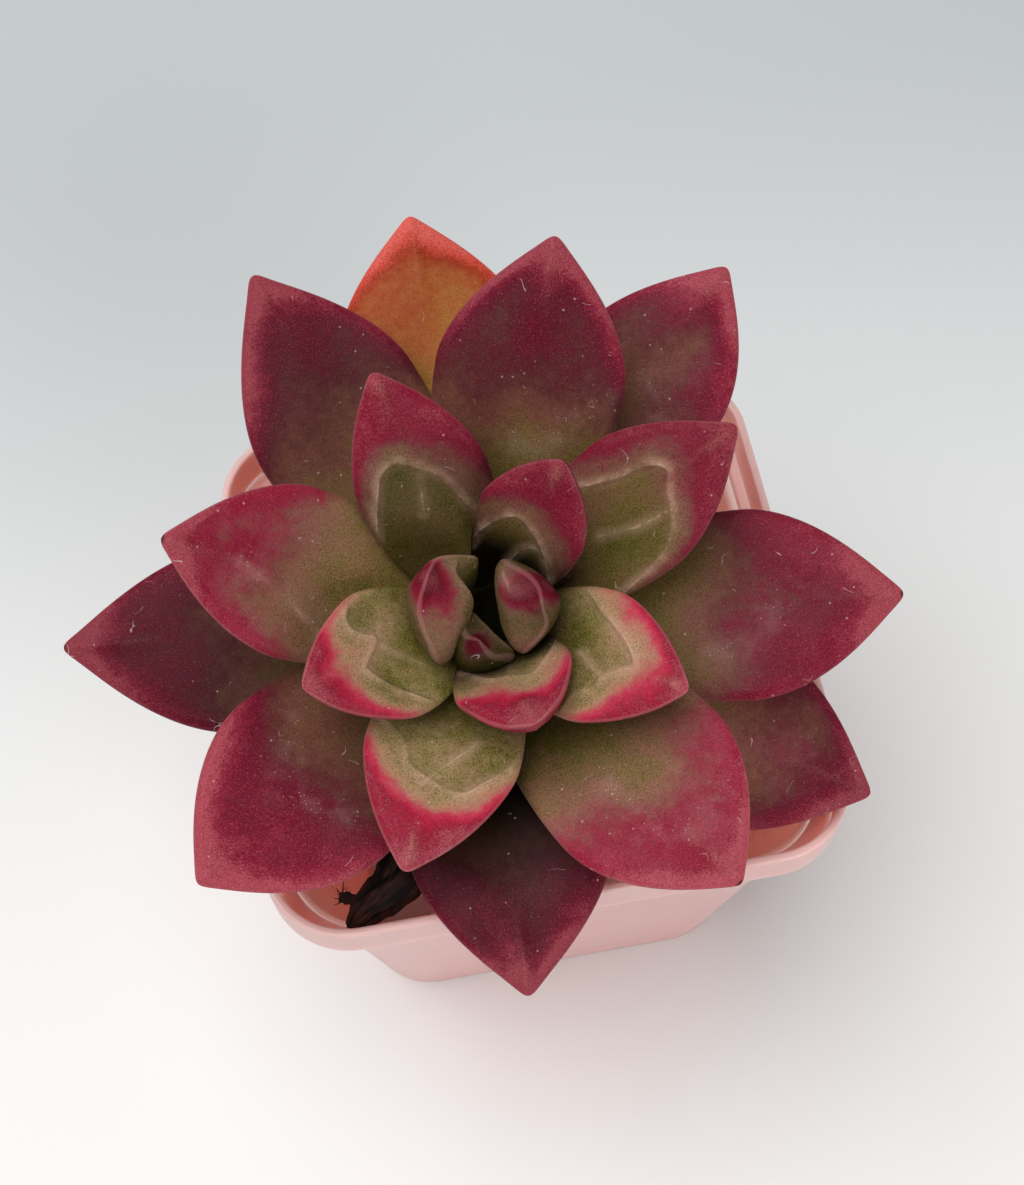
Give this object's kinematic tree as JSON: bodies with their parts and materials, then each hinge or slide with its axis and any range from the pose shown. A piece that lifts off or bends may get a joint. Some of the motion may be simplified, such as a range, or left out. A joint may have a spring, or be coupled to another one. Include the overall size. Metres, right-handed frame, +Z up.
{
  "type": "potted echeveria",
  "caption": "Echeveria rosette of fleshy pointed leaves on a short bare woody stem, laid over an empty square plastic pot with rounded corners and a collar.",
  "frame": {"origin": "centre of the underside of the pot's foot", "axes": "+Z up out of the pot's mouth, +X to the right and +Y to the back of the view in which the rosette leans towards the viewer"},
  "size_m": [0.1143, 0.1108, 0.1186],
  "materials": {
    "pot": "moulded pale pink polypropylene, satin, faintly see-through",
    "stem": "dry wrinkled bark, dark brown, matte",
    "leaf_young": "waxy succulent leaf, olive green at the base and crimson at the edge, satin",
    "leaf_old": "waxy succulent leaf, burgundy with a pale waxy bloom, satin",
    "leaf_fading": "waxy succulent leaf turning orange and yellow with age, satin"
  },
  "bodies": {
    "root": {"pot": "pot", "stem": "stem", "leaf_01": "leaf_young", "leaf_02": "leaf_young", "leaf_03": "leaf_young", "leaf_04": "leaf_young", "leaf_05": "leaf_young", "leaf_06": "leaf_young", "leaf_07": "leaf_young", "leaf_08": "leaf_young", "leaf_09": "leaf_young", "leaf_10": "leaf_young", "leaf_11": "leaf_old", "leaf_12": "leaf_old", "leaf_13": "leaf_old", "leaf_14": "leaf_old", "leaf_15": "leaf_old", "leaf_16": "leaf_old", "leaf_17": "leaf_old", "leaf_18": "leaf_old", "leaf_19": "leaf_old", "leaf_20": "leaf_old", "leaf_21": "leaf_fading"}
  },
  "joints": []
}
